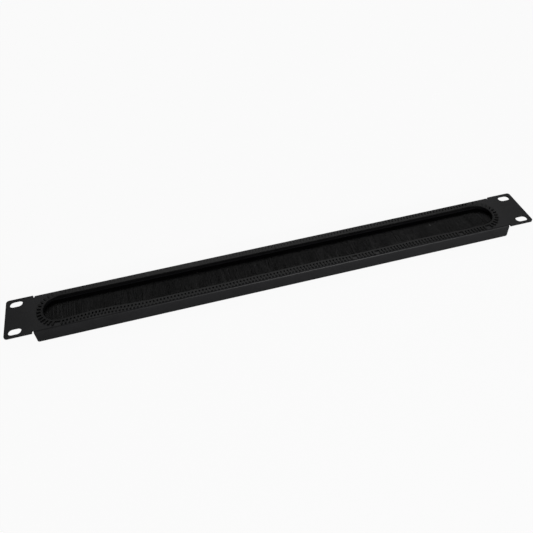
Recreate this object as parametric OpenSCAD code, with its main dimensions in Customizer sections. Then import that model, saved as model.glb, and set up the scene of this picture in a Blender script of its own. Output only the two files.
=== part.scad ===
// One-unit 19-inch rack panel with a brush-filled cable opening.
// The panel lies face up: X runs along its width, Y up its height and Z out of its front face.
// Z = 0 is the rear edge of the folded flanges, and X = Y = 0 is the middle of the face.

/* [Panel] */
// Width across both ears
panel_w = 482.6; // [475:0.1:490]
// Height of the face and the ears
panel_h = 43.6; // [42.5:0.1:44.4]
// Depth from the front of the face to the rear edge of the flanges
panel_depth = 12.7; // [12.2:0.1:25]
// Thickness of the sheet
sheet_t = 1.5; // [1.2:0.1:2]
// Inside radius of the two folds
bend_inner_r = 0.2; // [0.1:0.1:0.5]
// Length of each ear, from the end of the flanges outwards
ear_w = 24.3; // [23.5:0.1:26]
// Radius on the rear corners of the flanges
flange_corner_r = 1.4; // [0.5:0.1:3]
// Radius on the outer corners of the ears
ear_corner_r = 2.6; // [1:0.1:4]
// Width of the relief cut beside each end of a fold
relief_w = 1.4; // [1:0.1:2]
// Depth of the relief cut in from the panel's edge
relief_depth = 2.6; // [2.4:0.1:4]

/* [Mounting slots] */
// Distance from the panel's end to the middle of a slot
slot_end = 8.75; // [8:0.05:9.5]
// Distance between the two slots of one ear
slot_spacing_y = 31.75; // [31:0.05:32]
// Length of a slot from end to end
slot_len = 11.2; // [9:0.1:12]
// Height of a slot
slot_h = 7.2; // [6.4:0.1:8]

/* [Cable opening] */
// Sheet left between the end of the round-ended hole and the end of the flanges
opening_end = 6.05; // [5.95:0.05:20]
// Sheet left between the long edge of the hole and the outside of the flange
opening_edge = 6.3; // [6.2:0.05:7.5]

/* [Edging strip] */
// Thickness of the web that covers the cut edge of the sheet
web_t = 1; // [0.8:0.1:1.2]
// Thickness of the front and the rear leg
leg_t = 1; // [0.7:0.1:1]
// Width of the front leg, from the clear opening to the tips of the teeth
front_leg_w = 5.8; // [5:0.1:6]
// Width of the rear leg, which stops short of the flange
rear_leg_w = 5.2; // [4.5:0.1:5.3]
// Width of the unbroken rim inside the teeth
rim_w = 2.1; // [1.8:0.1:2.5]
// Bevel on the two edges of the rim
rim_bevel = 0.4; // [0.2:0.1:0.5]
// Distance from one tooth to the next, along the clear opening
tooth_pitch = 3.05; // [2.5:0.05:5]
// Width of a tooth
tooth_w = 1.6; // [1:0.1:2]
// Gap where the two cut ends of the strip meet
butt_gap = 0.3; // [0.1:0.1:1]
// How far the strip stands off its seat round the ends of the opening
end_slack = 0.6; // [0.2:0.1:0.8]
// How far it stands off in the ripples of its long runs
ripple_slack = 1; // [0.9:0.1:1.4]
// How far it stands off in the one bulge of its lower run
bulge_slack = 2.4; // [1.5:0.1:2.6]

/* [Brush holder] */
// How far the extruded holder runs past each end of the brush
holder_overhang = 1; // [0.5:0.1:1.5]
// Thickness of the holder's back, which the screws enter
holder_back_t = 2; // [1.8:0.1:2.2]
// Thickness of the holder's front and rear wall
holder_wall_t = 0.8; // [0.6:0.1:1.2]
// Height of the lips that keep the channel in
holder_lip_h = 0.6; // [0.4:0.1:0.8]
// How far each lip reaches in under the channel
holder_lip_reach = 0.4; // [0.3:0.1:0.45]

/* [Brush] */
// How far the brush runs past each end of the hole in the sheet
brush_overlap = 3.05; // [1:0.05:3.1]
// Width of the crimped channel, from front to rear
channel_w = 3.9; // [3.6:0.1:4.5]
// Height of the crimped channel
channel_h = 3.5; // [3.2:0.1:3.6]
// Thickness of the channel's steel
channel_t = 0.5; // [0.4:0.1:0.6]
// Diameter of the wire that the bristles are folded over
wire_d = 1.1; // [0.9:0.1:1.3]
// How far the bristles reach past the far edge of the hole in the sheet
bristle_lap = 1.9; // [0.5:0.1:2.5]
// Thickness of the bristle row at its tips
bristle_tip_t = 3.6; // [3:0.1:4]
// Width of one bunch of bristles
bunch_w = 3.2; // [3:0.1:8]
// How far the bunches stand out from the row
bunch_relief = 0.35; // [0.2:0.05:0.5]
// How much the tips of the bunches differ in length
tip_scatter = 1.2; // [0:0.1:2]

/* [Screws] */
// Number of screws along the top flange
screw_count = 5; // [2:1:9]
// Distance from the end of the holder to the first screw
screw_end = 15; // [8:1:40]
// Diameter of the thread
screw_d = 2.5; // [2:0.5:2.5]
// Diameter of the countersunk head
screw_head_d = 4.7; // [4:0.1:5]
// Width across the flats of the socket in the head
socket_af = 1.5; // [1.3:0.1:1.5]
// Depth of the socket
socket_depth = 0.7; // [0.5:0.1:0.9]

/* [Fits] */
// Gap between the edging strip and the cut edge of the sheet where it is fully seated
edging_clear = 0.1; // [0.05:0.05:0.2]
// Gap between the edging strip and the brush holder behind it
holder_clear = 0.2; // [0.1:0.1:0.4]
// Gap round the channel in the pocket of the holder
pocket_clear = 0.05; // [0.05:0.05:0.1]
// Gap round a screw in the flange's hole
screw_clear = 0.15; // [0.1:0.05:0.2]

/* [Hidden] */
$fn = 96;

bend_outer_r = bend_inner_r + sheet_t;
face_back_z = panel_depth - sheet_t;
flange_inner_y = panel_h / 2 - sheet_t;
flange_len = panel_w - 2 * ear_w;
slot_spacing_x = panel_w - 2 * slot_end;
cutout_w = flange_len - 2 * opening_end;
cutout_h = panel_h - 2 * opening_edge;

// The edging strip has two long runs and a half circle round each end of the opening.
// Its place is that of its inner surface, measured out from the opening's middle line.
run_len = cutout_w - cutout_h;
seated_y = cutout_h / 2 - edging_clear - web_t;
end_r = seated_y - end_slack;

// The strip is pressed on by hand and doesn't lie dead straight. Each entry is a share of the
// run's length, from the left, and how far the strip stands off its seat there.
lower_run = [
    [0, end_slack],
    [0.08, bulge_slack],
    [0.2, 0],
    [0.34, 0],
    [0.45, end_slack],
    [0.58, ripple_slack],
    [0.68, 0],
    [0.84, ripple_slack],
    [0.95, 0],
    [1, end_slack]
];
upper_run = [
    [0, end_slack],
    [0.16, end_slack],
    [0.34, ripple_slack],
    [0.95, ripple_slack],
    [1, end_slack]
];

// The teeth are spaced evenly along each run and round each end.
run_teeth = round(run_len / tooth_pitch);
end_teeth = round(PI * (end_r + web_t / 2) / tooth_pitch);
// Flat lengths that stand for the curve of each run and of each end.
run_steps = 64;
end_steps = 18;

// Places of the holder's parts, from the front to the rear and from the top flange down.
holder_front_z = face_back_z - leg_t - holder_clear;
pocket_w = channel_w + 2 * pocket_clear;
pocket_h = channel_h + 2 * pocket_clear;
holder_w = pocket_w + 2 * holder_wall_t;
brush_z = holder_front_z - holder_w / 2;
pocket_top_y = flange_inner_y - holder_back_t;
holder_mouth_y = pocket_top_y - pocket_h - holder_lip_h;
mouth_w = pocket_w - 2 * holder_lip_reach;

channel_top_y = pocket_top_y - pocket_clear;
channel_inner_w = channel_w - 2 * channel_t;
channel_inner_top_y = channel_top_y - channel_t;
channel_mouth_y = channel_top_y - channel_h;
crimp_w = mouth_w - 2 * pocket_clear - 2 * bunch_relief;
wire_y = channel_inner_top_y - channel_inner_w / 2;
brush_len = cutout_w + 2 * brush_overlap;
holder_len = brush_len + 2 * holder_overhang;
bristle_tip_y = -cutout_h / 2 - bristle_lap;
// The curtain starts inside the folded bristles round the wire, so that they are one piece.
bristle_root_y = channel_mouth_y + 2 * channel_t;

screw_len = sheet_t + holder_back_t;
screw_spacing = (holder_len - 2 * screw_end) / (screw_count - 1);
// A 90 degree countersink is as deep as its radius falls.
screw_head_h = (screw_head_d - screw_d) / 2;

// Extra length with which a cutting shape passes the faces it cuts.
cut = 1;

// Turns a profile drawn in Y and Z into a bar of the given length along X.
module bar(len) {
    rotate([90, 0, 90])
        linear_extrude(len, center = true)
            children();
}

// Draws its children on both sides of the given mirror plane.
module both_sides(plane) {
    children();
    mirror(plane)
        children();
}

module rounded_rect(w, h, r) {
    square([w - 2 * r, h], center = true);
    square([w, h - 2 * r], center = true);
    for (x = [-1, 1], y = [-1, 1])
        translate([x * (w / 2 - r), y * (h / 2 - r)])
            circle(r);
}

// Slot outline with full-radius ends.
module obround(w, h) {
    square([w - h, h], center = true);
    for (x = [-1, 1])
        translate([x * (w - h) / 2, 0])
            circle(h / 2);
}

// ---- Panel ----

// Solid section under a fold line on each side: flat top, rounded edges, open downwards.
module folded_outline(w, top, r) {
    translate([-w / 2, -cut])
        square([w, top - r + cut]);
    translate([-w / 2 + r, -cut])
        square([w - 2 * r, top + cut]);
    for (x = [-1, 1])
        translate([x * (w / 2 - r), top - r])
            circle(r);
}

// Section of the folded sheet: the face with a flange turned back on each side.
module folded_section() {
    difference() {
        intersection() {
            folded_outline(panel_h, panel_depth, bend_outer_r);
            translate([-panel_h / 2, 0])
                square([panel_h, panel_depth]);
        }
        folded_outline(panel_h - 2 * sheet_t, face_back_z, bend_inner_r);
    }
}

// Outline of a flange seen along Y, with its rear corners rounded.
module flange_outline() {
    translate([0, panel_depth / 2 + cut / 2])
        difference() {
            square([flange_len, panel_depth + cut], center = true);
            for (x = [-1, 1])
                translate([x * (flange_len / 2), -(panel_depth + cut) / 2])
                    difference() {
                        square(2 * flange_corner_r, center = true);
                        translate([-x * flange_corner_r, flange_corner_r])
                            circle(flange_corner_r);
                    }
        }
}

// Flat blank of the face: the ears, and the strip between the folds with its relief cuts.
module face_blank() {
    difference() {
        rounded_rect(panel_w, panel_h, ear_corner_r);
        for (side = [-1, 1])
            translate([0, side * panel_h / 2])
                square([flange_len + 2 * relief_w, 2 * (relief_depth - relief_w / 2)], center = true);
        for (x = [-1, 1], y = [-1, 1])
            translate([x * (flange_len + relief_w) / 2, y * (panel_h / 2 - relief_depth + relief_w / 2)])
                circle(relief_w / 2);
    }
}

// Places its children at each screw, on the outside of the top flange, with Z pointing out of it.
module at_screws() {
    for (i = [0 : screw_count - 1])
        translate([(i - (screw_count - 1) / 2) * screw_spacing, panel_h / 2, brush_z])
            rotate([-90, 0, 0])
                children();
}

// Countersunk hole through the flange.
module screw_hole() {
    translate([0, 0, -sheet_t - cut])
        cylinder(h = sheet_t + 2 * cut, d = screw_d + 2 * screw_clear);
    head_r = screw_head_d / 2 + screw_clear;
    translate([0, 0, -head_r])
        cylinder(h = head_r + cut, r1 = 0, r2 = head_r + cut);
}

module panel() {
    color("#202124")
        difference() {
            union() {
                translate([0, 0, face_back_z])
                    linear_extrude(sheet_t)
                        face_blank();
                intersection() {
                    bar(flange_len)
                        folded_section();
                    rotate([90, 0, 0])
                        linear_extrude(panel_h + 2 * cut, center = true)
                            flange_outline();
                }
            }
            translate([0, 0, face_back_z - cut])
                linear_extrude(sheet_t + 2 * cut)
                    obround(cutout_w, cutout_h);
            for (x = [-1, 1], y = [-1, 1])
                translate([x * slot_spacing_x / 2, y * slot_spacing_y / 2, face_back_z - cut])
                    linear_extrude(sheet_t + 2 * cut)
                        obround(slot_len, slot_h);
            at_screws()
                screw_hole();
        }
}

// ---- Edging strip ----

// Section of the rim: a U round the cut edge, bevelled towards the clear opening.
// X is the distance out from the strip's inner surface, and Y is the height.
rim_h = sheet_t + 2 * leg_t;
rim_section = [
    [0, rim_bevel],
    [rim_bevel, 0],
    [rim_w, 0],
    [rim_w, leg_t],
    [web_t, leg_t],
    [web_t, rim_h - leg_t],
    [rim_w, rim_h - leg_t],
    [rim_w, rim_h],
    [rim_bevel, rim_h],
    [0, rim_h - rim_bevel]
];

// Place on a run at a share of its length: X, the distance out from the middle line, and slope.
// Between two entries the strip eases from one to the other.
function run_place(run, share) =
    let(
        i = max([for (j = [0 : len(run) - 2]) if (run[j][0] <= share) j]),
        part = run[i + 1][0] - run[i][0],
        step = run[i][1] - run[i + 1][1],
        turn = 180 * (share - run[i][0]) / part
    )
    [
        (share - 1 / 2) * run_len,
        seated_y - run[i][1] + step * (1 - cos(turn)) / 2,
        atan(step * PI / 2 * sin(turn) / (part * run_len))
    ];

// Stations round the whole strip, anticlockwise: X, Y and the direction that points outwards.
lower_stations = [for (k = [0 : run_steps - 1])
    let(p = run_place(lower_run, k / run_steps)) [p[0], -p[1], -90 - p[2]]];
right_stations = [for (k = [0 : end_steps - 1])
    let(a = -90 + 180 * k / end_steps) [run_len / 2 + end_r * cos(a), end_r * sin(a), a]];
upper_stations = [for (k = [0 : run_steps - 1])
    let(p = run_place(upper_run, 1 - k / run_steps)) [p[0], p[1], 90 + p[2]]];
left_stations = [for (k = [0 : end_steps - 1])
    let(a = 90 + 180 * k / end_steps) [-run_len / 2 + end_r * cos(a), end_r * sin(a), a]];
stations = concat(lower_stations, right_stations, upper_stations, left_stations);

// The rim: its section carried round the stations. The bevels twist a little, so they are
// made of triangles.
module rim() {
    sides = len(rim_section);
    count = len(stations);
    points = [for (s = stations, p = rim_section)
        [s[0] + p[0] * cos(s[2]), s[1] + p[0] * sin(s[2]), face_back_z - leg_t + p[1]]];
    quads = [for (i = [0 : count - 1], j = [0 : sides - 1])
        [
            i * sides + j,
            i * sides + (j + 1) % sides,
            (i + 1) % count * sides + (j + 1) % sides,
            (i + 1) % count * sides + j
        ]];
    faces = [for (k = [0 : len(quads) - 1])
        let(q = quads[k], twisted = k % sides == 0 || k % sides == sides - 2)
        each (twisted ? [[q[0], q[1], q[2]], [q[0], q[2], q[3]]] : [q])];
    polyhedron(points, faces);
}

// One tooth of each leg, rooted in the rim. Y = 0 is the strip's inner surface.
module tooth_pair() {
    root = rim_w / 2;
    translate([-tooth_w / 2, root, panel_depth])
        cube([tooth_w, front_leg_w - root, leg_t]);
    translate([-tooth_w / 2, root, face_back_z - leg_t])
        cube([tooth_w, rear_leg_w - root, leg_t]);
}

// Teeth of a run, each square to the strip at its place.
module run_row(run) {
    for (k = [0 : run_teeth - 1]) {
        place = run_place(run, (k + 1 / 2) / run_teeth);
        translate([place[0], place[1], 0])
            rotate([0, 0, place[2]])
                tooth_pair();
    }
}

// Teeth round the right-hand end of the opening.
module end_row() {
    for (i = [0 : end_teeth - 1])
        translate([run_len / 2, 0, 0])
            rotate([0, 0, -(i + 1 / 2) / end_teeth * 180])
                translate([0, end_r, 0])
                    tooth_pair();
}

module edging_strip() {
    color("#161719")
        difference() {
            union() {
                rim();
                run_row(upper_run);
                mirror([0, 1, 0])
                    run_row(lower_run);
                both_sides([1, 0, 0])
                    end_row();
            }
            translate([-butt_gap / 2, 0, 0])
                cube([butt_gap, panel_h / 2, panel_depth + leg_t + cut]);
        }
}

// ---- Brush holder and brush ----

module brush_holder() {
    color("#1b1c1e")
        difference() {
            bar(holder_len)
                difference() {
                    translate([holder_mouth_y, brush_z - holder_w / 2])
                        square([flange_inner_y - holder_mouth_y, holder_w]);
                    translate([holder_mouth_y + holder_lip_h, brush_z - pocket_w / 2])
                        square([pocket_h, pocket_w]);
                    translate([holder_mouth_y - cut, brush_z - mouth_w / 2])
                        square([holder_lip_h + 2 * cut, mouth_w]);
                }
            at_screws()
                translate([0, 0, -screw_len - cut])
                    cylinder(h = screw_len + 2 * cut, d = screw_d);
        }
}

// Section of the crimped channel: a U open downwards, its mouth pinched in on the bristles.
module channel_section() {
    lip = (channel_inner_w - crimp_w) / 2;
    difference() {
        translate([channel_mouth_y, brush_z - channel_w / 2])
            square([channel_h, channel_w]);
        translate([channel_mouth_y + channel_t, brush_z - channel_inner_w / 2])
            square([channel_h - 2 * channel_t, channel_inner_w]);
        translate([channel_mouth_y - cut, brush_z - channel_inner_w / 2 + lip])
            square([2 * cut, crimp_w]);
    }
}

module brush_channel() {
    color("#3a3c3f")
        bar(brush_len)
            channel_section();
}

module core_wire() {
    color("#9a9ca0")
        translate([0, wire_y, brush_z])
            rotate([0, 90, 0])
                cylinder(h = brush_len, d = wire_d, center = true);
}

// Pseudo-random share from 0 to 1 for a bunch, the same on every build.
function share(i) = abs(sin(i * 137.508 * 7));

// Section across the bunches: a row whose front and rear faces are ridged, one ridge to a bunch.
module bunch_row() {
    count = round(brush_len / bunch_w);
    pitch = brush_len / count;
    ridge = bristle_tip_t / 2;
    front = [for (i = [0 : 2 * count])
        [(i / 2 - count / 2) * pitch, ridge - (i % 2 == 0 ? bunch_relief : 0)]];
    rear = [for (i = [2 * count : -1 : 0])
        [(i / 2 - count / 2) * pitch, -ridge + (i % 2 == 0 ? bunch_relief : 0)]];
    polygon(concat(front, rear));
}

// Front outline of the row: straight at the root, a step at the tip of each bunch.
module tip_outline() {
    count = round(brush_len / bunch_w);
    pitch = brush_len / count;
    tips = [for (i = [0 : count - 1], edge = [0, 1])
        [(i + edge - count / 2) * pitch, bristle_tip_y + tip_scatter * share(i)]];
    polygon(concat(tips, [[brush_len / 2, bristle_root_y], [-brush_len / 2, bristle_root_y]]));
}

// Section of the row from front to rear: narrow in the crimp, spreading towards the tips.
module spread_section() {
    polygon([
        [bristle_root_y, brush_z - crimp_w / 2],
        [holder_mouth_y, brush_z - crimp_w / 2],
        [bristle_tip_y - cut, brush_z - bristle_tip_t / 2],
        [bristle_tip_y - cut, brush_z + bristle_tip_t / 2],
        [holder_mouth_y, brush_z + crimp_w / 2],
        [bristle_root_y, brush_z + crimp_w / 2]
    ]);
}

module bristles() {
    color("#101012") {
        bar(brush_len)
            difference() {
                translate([channel_mouth_y + channel_t, brush_z - channel_inner_w / 2])
                    square([channel_h - 2 * channel_t, channel_inner_w]);
                translate([wire_y, brush_z])
                    circle(wire_d / 2);
            }
        intersection() {
            bar(brush_len)
                spread_section();
            translate([0, panel_h / 2, brush_z])
                rotate([90, 0, 0])
                    linear_extrude(panel_h)
                        bunch_row();
            linear_extrude(panel_depth)
                tip_outline();
        }
    }
}

// ---- Screws ----

module holder_screws() {
    color("#2a2b2d")
        at_screws()
            difference() {
                union() {
                    translate([0, 0, -screw_len])
                        cylinder(h = screw_len, d = screw_d);
                    translate([0, 0, -screw_head_h])
                        cylinder(h = screw_head_h, d1 = screw_d, d2 = screw_head_d);
                }
                translate([0, 0, -socket_depth])
                    cylinder(h = socket_depth + cut, d = socket_af / cos(30), $fn = 6);
            }
}

panel();
edging_strip();
brush_holder();
brush_channel();
core_wire();
bristles();
holder_screws();
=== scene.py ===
import math

import bpy
import numpy as np
from mathutils import Matrix, Vector


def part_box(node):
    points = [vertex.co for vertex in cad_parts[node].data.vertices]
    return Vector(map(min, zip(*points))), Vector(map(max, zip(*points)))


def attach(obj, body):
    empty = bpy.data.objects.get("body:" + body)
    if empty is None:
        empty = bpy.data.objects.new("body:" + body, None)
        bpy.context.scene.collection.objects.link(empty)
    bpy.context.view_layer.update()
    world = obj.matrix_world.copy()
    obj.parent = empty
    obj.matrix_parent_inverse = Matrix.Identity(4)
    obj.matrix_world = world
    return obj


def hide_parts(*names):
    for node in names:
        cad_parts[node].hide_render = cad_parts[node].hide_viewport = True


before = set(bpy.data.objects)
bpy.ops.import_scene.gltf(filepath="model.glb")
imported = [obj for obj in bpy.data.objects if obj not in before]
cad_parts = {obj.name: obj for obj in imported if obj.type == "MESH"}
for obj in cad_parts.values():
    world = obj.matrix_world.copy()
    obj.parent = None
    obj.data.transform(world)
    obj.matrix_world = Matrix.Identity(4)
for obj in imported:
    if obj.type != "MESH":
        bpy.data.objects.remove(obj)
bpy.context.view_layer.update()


# ---- Camera ----
# Looks down on the face from in front of the lower edge, a little left of the middle.
# A standard lens with no shift; the panel runs from the lower left to the upper right.
CAMERA_AZIMUTH = math.radians(-11.458)
CAMERA_ELEVATION = math.radians(44.883)
CAMERA_ROLL = math.radians(-4.33)
CAMERA_LENS = 39.666
CAMERA_OFFSET = Vector((-0.011377, -0.006445, 0.531612))

back = Vector((
    math.sin(CAMERA_AZIMUTH) * math.cos(CAMERA_ELEVATION),
    -math.cos(CAMERA_AZIMUTH) * math.cos(CAMERA_ELEVATION),
    math.sin(CAMERA_ELEVATION),
))
level = Vector((0, 0, 1)).cross(back).normalized()
upright = back.cross(level)
right = math.cos(CAMERA_ROLL) * level + math.sin(CAMERA_ROLL) * upright
up = math.cos(CAMERA_ROLL) * upright - math.sin(CAMERA_ROLL) * level
turn = Matrix((right, up, back)).transposed()
face_centre = Vector((0, 0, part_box("panel")[1].z))

bpy.ops.object.camera_add(location=face_centre + turn @ CAMERA_OFFSET, rotation=turn.to_euler())
camera = bpy.context.object
camera.name = "camera"
camera.data.lens = CAMERA_LENS
camera.data.sensor_width = 36
camera.data.clip_start = 0.01
bpy.context.scene.camera = camera


# ---- Folded panel ----
# One piece of 1.5 mm sheet steel, punched, folded along both long edges and powder-coated
# black. The coat is a fine satin: a faint orange peel with a grain of about a third of a mm.
def paint(hex_code):
    """Linear colour of an sRGB hex code."""
    channels = [int(hex_code[i:i + 2], 16) / 255 for i in (1, 3, 5)]
    linear = [c / 12.92 if c <= 0.04045 else ((c + 0.055) / 1.055) ** 2.4 for c in channels]
    return (*linear, 1)


TONE_STOPS = (0.3, 0.7)


def add_node(material, kind, links=(), tones=(), **settings):
    """Adds a shader node. Settings are its properties or sockets, tones the colours of a ramp."""
    tree = material.node_tree
    node = tree.nodes.new(kind)
    for name, value in settings.items():
        if hasattr(node, name):
            setattr(node, name, value)
        else:
            node.inputs[name.replace("_", " ")].default_value = value
    for i, tone in enumerate(tones):
        node.color_ramp.elements[i].position = TONE_STOPS[i]
        node.color_ramp.elements[i].color = paint(tone)
    for socket, source in dict(links).items():
        tree.links.new(source, node.inputs[socket])
    return node


def new_material(name):
    material = bpy.data.materials.new(name)
    material.use_nodes = True
    material.node_tree.nodes.clear()
    return material


def grain(material, size_mm, detail=2, stretch=(1, 1, 1)):
    """Noise whose grains are about size_mm across, on the piece's own coordinates."""
    place = add_node(material, "ShaderNodeTexCoord")
    mapping = add_node(material, "ShaderNodeMapping", {"Vector": place.outputs["Object"]}, Scale=stretch)
    return add_node(material, "ShaderNodeTexNoise", {"Vector": mapping.outputs["Vector"]},
                    Scale=1000 / size_mm, Detail=detail)


def cover(piece, material):
    piece.data.materials.clear()
    piece.data.materials.append(material)


def powder_coat():
    """Satin black powder coat: near black, with a soft sheen from a fine orange peel."""
    material = new_material("satin_black_powder_coat")
    peel = grain(material, 0.35, detail=3)
    cloud = grain(material, 14, detail=3)
    bump = add_node(material, "ShaderNodeBump", {"Height": peel.outputs["Fac"]},
                    Strength=0.3, Distance=0.00003)
    shader = add_node(material, "ShaderNodeBsdfPrincipled", {
        "Base Color": add_node(material, "ShaderNodeValToRGB", {"Fac": cloud.outputs["Fac"]},
                               tones=("#1b1b1d", "#212123")).outputs["Color"],
        "Roughness": add_node(material, "ShaderNodeMapRange", {"Value": peel.outputs["Fac"]},
                              To_Min=0.4, To_Max=0.5).outputs["Result"],
        "Normal": bump.outputs["Normal"],
    }, Specular_IOR_Level=0.4)
    add_node(material, "ShaderNodeOutputMaterial", {"Surface": shader.outputs[0]})
    return material


cover(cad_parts["panel"], powder_coat())


# ---- Edging strip ----
# A castellated strip of black nylon, moulded straight and pressed by hand over the cut edge of
# the opening, where the gaps between its teeth let it follow the round ends.
def moulded_nylon():
    """Moulded black nylon: a touch smoother than the coat, with faint flow marks."""
    material = new_material("moulded_black_nylon")
    skin = grain(material, 0.25, detail=2)
    flow = grain(material, 6, detail=2, stretch=(1, 1, 0.3))
    bump = add_node(material, "ShaderNodeBump", {"Height": skin.outputs["Fac"]},
                    Strength=0.15, Distance=0.00002)
    shader = add_node(material, "ShaderNodeBsdfPrincipled", {
        "Base Color": add_node(material, "ShaderNodeValToRGB", {"Fac": flow.outputs["Fac"]},
                               tones=("#0c0c0d", "#121213")).outputs["Color"],
        "Roughness": add_node(material, "ShaderNodeMapRange", {"Value": skin.outputs["Fac"]},
                              To_Min=0.34, To_Max=0.42).outputs["Result"],
        "Normal": bump.outputs["Normal"],
    }, Specular_IOR_Level=0.25)
    add_node(material, "ShaderNodeOutputMaterial", {"Surface": shader.outputs[0]})
    return material


cover(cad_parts["edging_strip"], moulded_nylon())


# ---- Brush holder ----
# An aluminium extrusion screwed inside the top flange, anodised black. The die leaves fine
# straight lines along it, which the anodising keeps.
def black_anodised():
    """Black anodised aluminium: a dark grey metal sheen drawn out along the extrusion."""
    material = new_material("black_anodised_aluminium")
    die_lines = grain(material, 0.3, detail=2, stretch=(0.01, 1, 1))
    bump = add_node(material, "ShaderNodeBump", {"Height": die_lines.outputs["Fac"]},
                    Strength=0.2, Distance=0.00003)
    shader = add_node(material, "ShaderNodeBsdfPrincipled", {
        "Base Color": add_node(material, "ShaderNodeValToRGB", {"Fac": die_lines.outputs["Fac"]},
                               tones=("#1c1c1f", "#29292c")).outputs["Color"],
        "Roughness": add_node(material, "ShaderNodeMapRange", {"Value": die_lines.outputs["Fac"]},
                              To_Min=0.36, To_Max=0.46).outputs["Result"],
        "Normal": bump.outputs["Normal"],
    }, Metallic=0.6)
    add_node(material, "ShaderNodeOutputMaterial", {"Surface": shader.outputs[0]})
    return material


cover(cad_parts["brush_holder"], black_anodised())


# ---- Brush channel ----
# Thin steel strip rolled into a U and crimped on the folded bristles. It is blackened, with
# the long rubs of the rolls on it, and slides into the holder's pocket.
def blackened_steel():
    """Blackened steel strip: dark and slightly oily, with lighter lines where the rolls ran."""
    material = new_material("blackened_steel_strip")
    rubs = grain(material, 0.4, detail=3, stretch=(0.02, 1, 1))
    shader = add_node(material, "ShaderNodeBsdfPrincipled", {
        "Base Color": add_node(material, "ShaderNodeValToRGB", {"Fac": rubs.outputs["Fac"]},
                               tones=("#2b2b2d", "#3d3e41")).outputs["Color"],
        "Roughness": add_node(material, "ShaderNodeMapRange", {"Value": rubs.outputs["Fac"]},
                              To_Min=0.35, To_Max=0.5).outputs["Result"],
    }, Metallic=0.8)
    add_node(material, "ShaderNodeOutputMaterial", {"Surface": shader.outputs[0]})
    return material


cover(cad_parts["brush_channel"], blackened_steel())


# ---- Core wire ----
# Drawn and galvanised steel wire over which the bristles are folded. Only its cut ends show,
# in the mouth of the channel.
def galvanised_wire():
    """Galvanised wire: dull light grey metal with fine drawing lines along it."""
    material = new_material("galvanised_wire")
    drawing = grain(material, 0.2, detail=2, stretch=(0.02, 1, 1))
    shader = add_node(material, "ShaderNodeBsdfPrincipled", {
        "Base Color": add_node(material, "ShaderNodeValToRGB", {"Fac": drawing.outputs["Fac"]},
                               tones=("#8d9093", "#a9acaf")).outputs["Color"],
        "Roughness": add_node(material, "ShaderNodeMapRange", {"Value": drawing.outputs["Fac"]},
                              To_Min=0.35, To_Max=0.5).outputs["Result"],
    }, Metallic=1)
    add_node(material, "ShaderNodeOutputMaterial", {"Surface": shader.outputs[0]})
    return material


cover(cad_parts["core_wire"], galvanised_wire())


# ---- Bristles ----
# Nylon filament, crimped with the wire in the channel. The rows hang side by side from the
# crimp, lean together in loose bunches, and end a little unevenly behind the lower edge. They are
# drawn thicker and fewer than real filament, and close enough that no floor shows through.
FILAMENT_D = 0.0004
FILAMENT_PITCH = 0.00028
FILAMENT_ROWS = 7
CRIMP_W = 0.0021
TIP_W = 0.0034
TIP_SCATTER = 0.0006
TUFT_W = 0.004
TUFT_LEAN = 0.0004
BUNCH_W = 0.017
BUNCH_LEAN = 0.0006
BOW_W = 0.009
BOW = 0.0003
DEPTH_W = 0.006
DEPTH_LEAN = 0.0002
TIP_STEP_W = 0.005
STRAY_LEAN = 0.0002
STRAY_DEPTH = 0.00015
CURVE = 1.3


def filament_nylon():
    """Black nylon filament: smooth and slightly shiny, each a shade lighter or darker."""
    material = new_material("black_nylon_filament")
    shades = grain(material, 0.6, detail=2, stretch=(1, 0.03, 1))
    shader = add_node(material, "ShaderNodeBsdfPrincipled", {
        "Base Color": add_node(material, "ShaderNodeValToRGB", {"Fac": shades.outputs["Fac"]},
                               tones=("#080809", "#111112")).outputs["Color"],
        "Roughness": add_node(material, "ShaderNodeMapRange", {"Value": shades.outputs["Fac"]},
                              To_Min=0.32, To_Max=0.42).outputs["Result"],
    }, Specular_IOR_Level=0.25)
    add_node(material, "ShaderNodeOutputMaterial", {"Surface": shader.outputs[0]})
    return material


brush_low, brush_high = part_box("bristles")
crimp_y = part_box("brush_channel")[0].y
brush_mid_z = (brush_low.z + brush_high.z) / 2
filament_len = crimp_y - brush_low.y
filament_count = int((brush_high.x - brush_low.x - FILAMENT_D) / FILAMENT_PITCH)

bpy.ops.object.select_all(action="DESELECT")
bpy.ops.mesh.primitive_cylinder_add(vertices=3, radius=FILAMENT_D / 2, depth=filament_len,
                                    end_fill_type="NOTHING", location=(0, 0, 0),
                                    rotation=(math.radians(90), 0, 0))
filaments = bpy.context.object
filaments.name = "filaments"
bpy.ops.object.transform_apply(location=True, rotation=True, scale=True)
mesh = filaments.data
bpy.ops.object.mode_set(mode="EDIT")
bpy.ops.mesh.select_mode(type="EDGE")
bpy.ops.mesh.select_all(action="DESELECT")
bpy.ops.object.mode_set(mode="OBJECT")
for edge in mesh.edges:
    ends = [mesh.vertices[i].co for i in edge.vertices]
    edge.select = abs(ends[0].y - ends[1].y) > filament_len / 2
bpy.ops.object.mode_set(mode="EDIT")
bpy.ops.mesh.subdivide(number_cuts=2)
bpy.ops.object.mode_set(mode="OBJECT")
one_filament = len(mesh.vertices)

for name, count, offset in (("along", filament_count, (FILAMENT_PITCH, 0, 0)),
                            ("rows", FILAMENT_ROWS, (0, 0, -FILAMENT_D))):
    array = filaments.modifiers.new(name, "ARRAY")
    array.count = count
    array.use_relative_offset = False
    array.use_constant_offset = True
    array.constant_offset_displace = offset
    bpy.ops.object.modifier_apply(modifier=name)

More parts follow.
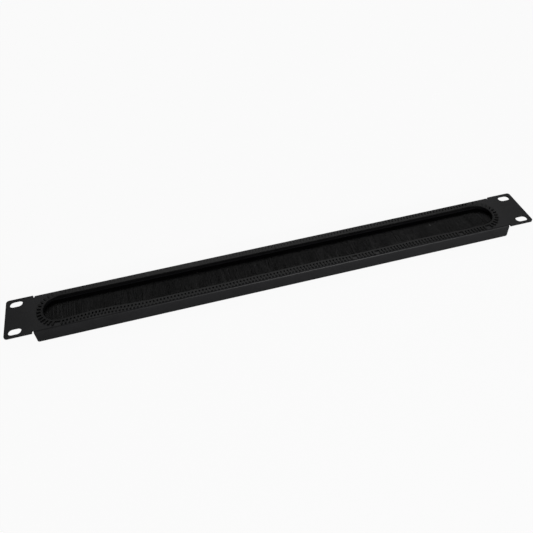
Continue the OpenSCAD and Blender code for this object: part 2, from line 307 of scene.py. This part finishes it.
# Each filament gets its own lean, bow and length, on top of the slow sway of its bunch.
SEED = 19
rng = np.random.default_rng(SEED)
places = np.empty(len(mesh.vertices) * 3)
mesh.vertices.foreach_get("co", places)
places = places.reshape(FILAMENT_ROWS, filament_count, one_filament, 3)
ring_x = places[:1, :1, :, 0]
ring_z = places[:1, :1, :, 2]
down = 0.5 - places[:1, :1, :, 1] / filament_len
row = np.arange(FILAMENT_ROWS)[:, None] / (FILAMENT_ROWS - 1) - 0.5
one_each = (FILAMENT_ROWS, filament_count)
root_x = (np.arange(filament_count) - (filament_count - 1) / 2) * FILAMENT_PITCH
root_x = root_x + rng.uniform(-0.5, 0.5, one_each) * FILAMENT_PITCH


def sway(width, amount):
    """Sideways lean in metres that changes smoothly along the brush over about the given width."""
    knots = int((brush_high.x - brush_low.x) / width) + 2
    at = np.linspace(brush_low.x, brush_high.x, knots)
    return np.stack([np.interp(line, at, rng.normal(0, amount, knots)) for line in root_x])


lean_x = sway(TUFT_W, TUFT_LEAN) + sway(BUNCH_W, BUNCH_LEAN) + rng.normal(0, STRAY_LEAN, one_each)
bow_x = sway(BOW_W, BOW) + rng.normal(0, STRAY_LEAN, one_each)
lean_z = row * (TIP_W - CRIMP_W) + sway(DEPTH_W, DEPTH_LEAN) + rng.normal(0, STRAY_DEPTH, one_each)
shorten = rng.uniform(0, TIP_SCATTER, one_each) + np.abs(sway(TIP_STEP_W, TIP_SCATTER / 2))

fall = down * (1 - shorten[:, :, None] / filament_len)
x = root_x[:, :, None] + lean_x[:, :, None] * fall ** CURVE + bow_x[:, :, None] * np.sin(math.pi * fall)
z = brush_mid_z + row[:, :, None] * CRIMP_W + lean_z[:, :, None] * fall
places[..., 0] = np.clip(x, brush_low.x + FILAMENT_D, brush_high.x - FILAMENT_D) + ring_x
places[..., 1] = crimp_y - fall * filament_len
places[..., 2] = np.clip(z, brush_low.z + FILAMENT_D, brush_high.z - FILAMENT_D) + ring_z
mesh.vertices.foreach_set("co", places.ravel())
mesh.update()
bpy.ops.object.shade_smooth()
cover(filaments, filament_nylon())
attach(filaments, "root")
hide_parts("bristles")

# The folded ends round the wire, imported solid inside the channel, just short of its cut ends.
FOLD_INSET = 0.0002
FOLD_ROUND = CRIMP_W / 5
fold_low = Vector((brush_low.x + FOLD_INSET, crimp_y, brush_mid_z - CRIMP_W / 2))
fold_high = Vector((brush_high.x - FOLD_INSET, brush_high.y - FOLD_INSET, brush_mid_z + CRIMP_W / 2))
bpy.ops.object.select_all(action="DESELECT")
bpy.ops.mesh.primitive_cube_add(size=1, location=(fold_low + fold_high) / 2)
bristle_fold = bpy.context.object
bristle_fold.name = "bristle_fold"
bristle_fold.scale = fold_high - fold_low
bpy.ops.object.transform_apply(location=True, rotation=True, scale=True)
bevel = bristle_fold.modifiers.new("rounded_fold", "BEVEL")
bevel.width = FOLD_ROUND
bevel.segments = 3
bpy.ops.object.modifier_apply(modifier="rounded_fold")
cover(bristle_fold, filaments.data.materials[0])
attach(bristle_fold, "root")
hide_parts("bristles")


# ---- Holder screws ----
# Five countersunk steel screws through the top flange into the holder, with a hexagon socket.
# Black oxide leaves them a dark, slightly oily grey.
def black_oxide():
    """Black oxide on steel: dark grey metal, a little blotchy from the bath."""
    material = new_material("black_oxide_steel")
    blotch = grain(material, 0.8, detail=3)
    shader = add_node(material, "ShaderNodeBsdfPrincipled", {
        "Base Color": add_node(material, "ShaderNodeValToRGB", {"Fac": blotch.outputs["Fac"]},
                               tones=("#232325", "#333336")).outputs["Color"],
        "Roughness": add_node(material, "ShaderNodeMapRange", {"Value": blotch.outputs["Fac"]},
                              To_Min=0.3, To_Max=0.42).outputs["Result"],
    }, Metallic=0.8)
    add_node(material, "ShaderNodeOutputMaterial", {"Surface": shader.outputs[0]})
    return material


cover(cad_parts["holder_screws"], black_oxide())


# ---- Floor, backdrop and light ----
# A plain white table top that runs out of view. It shows white, and keeps a faint shadow.
WHITE_SHARE = 0.94
FLOOR_SIZE = 12
AMBIENT = 0.1

bpy.ops.object.select_all(action="DESELECT")
bpy.ops.mesh.primitive_plane_add(size=FLOOR_SIZE, location=(0, 0, 0))
floor = bpy.context.object
floor.name = "floor"
table_top = new_material("white_table_top")
lit = add_node(table_top, "ShaderNodeBsdfDiffuse", Color=paint("#ebebeb"))
white = add_node(table_top, "ShaderNodeEmission", Color=(1, 1, 1, 1), Strength=1)
part_white = add_node(table_top, "ShaderNodeMixShader", {1: lit.outputs[0], 2: white.outputs[0]})
part_white.inputs[0].default_value = WHITE_SHARE
seen = add_node(table_top, "ShaderNodeLightPath")
shown = add_node(table_top, "ShaderNodeMixShader", {
    0: seen.outputs["Is Camera Ray"],
    1: lit.outputs[0],
    2: part_white.outputs[0],
})
add_node(table_top, "ShaderNodeOutputMaterial", {"Surface": shown.outputs[0]})
cover(floor, table_top)

world = bpy.data.worlds.new("studio")
bpy.context.scene.world = world
world.use_nodes = True
world.node_tree.nodes["Background"].inputs["Color"].default_value = (1, 1, 1, 1)
world.node_tree.nodes["Background"].inputs["Strength"].default_value = AMBIENT


def softbox(name, place, aim, width, height, power):
    """Rectangular light at a place, turned to its aim. Power in watts."""
    light = bpy.data.lights.new(name, "AREA")
    light.shape = "RECTANGLE"
    light.size = width
    light.size_y = height
    light.energy = power
    lamp = bpy.data.objects.new(name, light)
    bpy.context.scene.collection.objects.link(lamp)
    lamp.location = place
    lamp.rotation_euler = (Vector(aim) - Vector(place)).to_track_quat("-Z", "Y").to_euler()


softbox("back_softbox", (0.2, 1.0, 1.05), (0, 0, 0), width=1.5, height=0.5, power=3.4)
softbox("front_softbox", (0.35, -1.1, 0.5), (0.05, 0, 0), width=0.5, height=0.2, power=7)

bpy.context.scene.view_settings.view_transform = "Standard"
